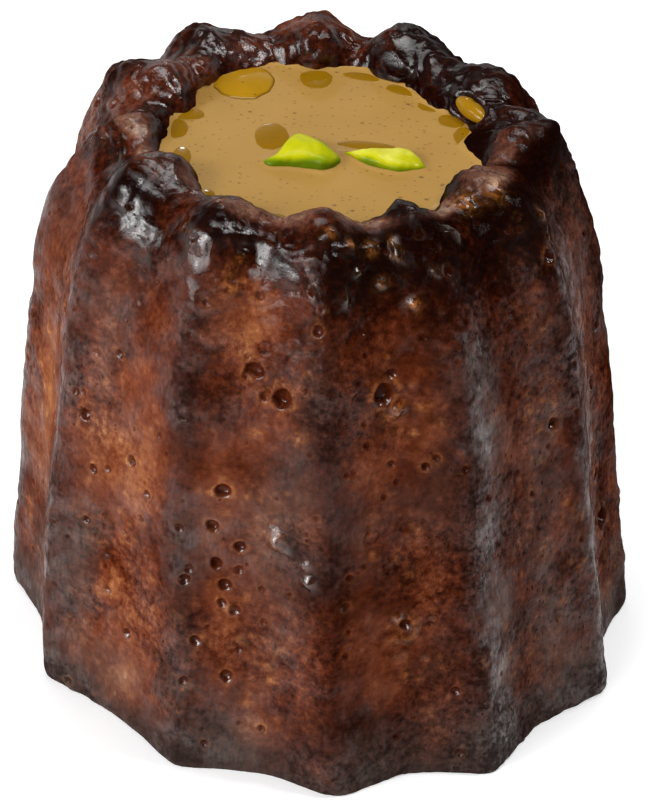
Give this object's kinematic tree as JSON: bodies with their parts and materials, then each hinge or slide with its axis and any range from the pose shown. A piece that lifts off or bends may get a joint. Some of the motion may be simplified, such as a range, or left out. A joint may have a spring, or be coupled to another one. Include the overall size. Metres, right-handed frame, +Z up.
{
  "type": "canele",
  "caption": "Small fluted cake with a dark glazed crust, a lobed rim round a shallow dish of tan cream, and two slivers of pistachio on the cream.",
  "frame": {"origin": "middle of the base, on the surface that the cake stands on", "axes": "+Z up, the shorter extent; the pictured side faces -Y, and +X is to its right"},
  "size_m": [0.055, 0.055, 0.0502],
  "materials": {
    "crust": "glossy caramelised crust, pitted and wrinkled",
    "cream": "smooth satin cream with fine dark specks",
    "pistachio": "satin cut nut",
    "oil": "glossy amber oil"
  },
  "bodies": {
    "root": {"pastry": "crust", "cream": "cream", "pistachio_left": "pistachio", "pistachio_right": "pistachio"}
  },
  "joints": []
}
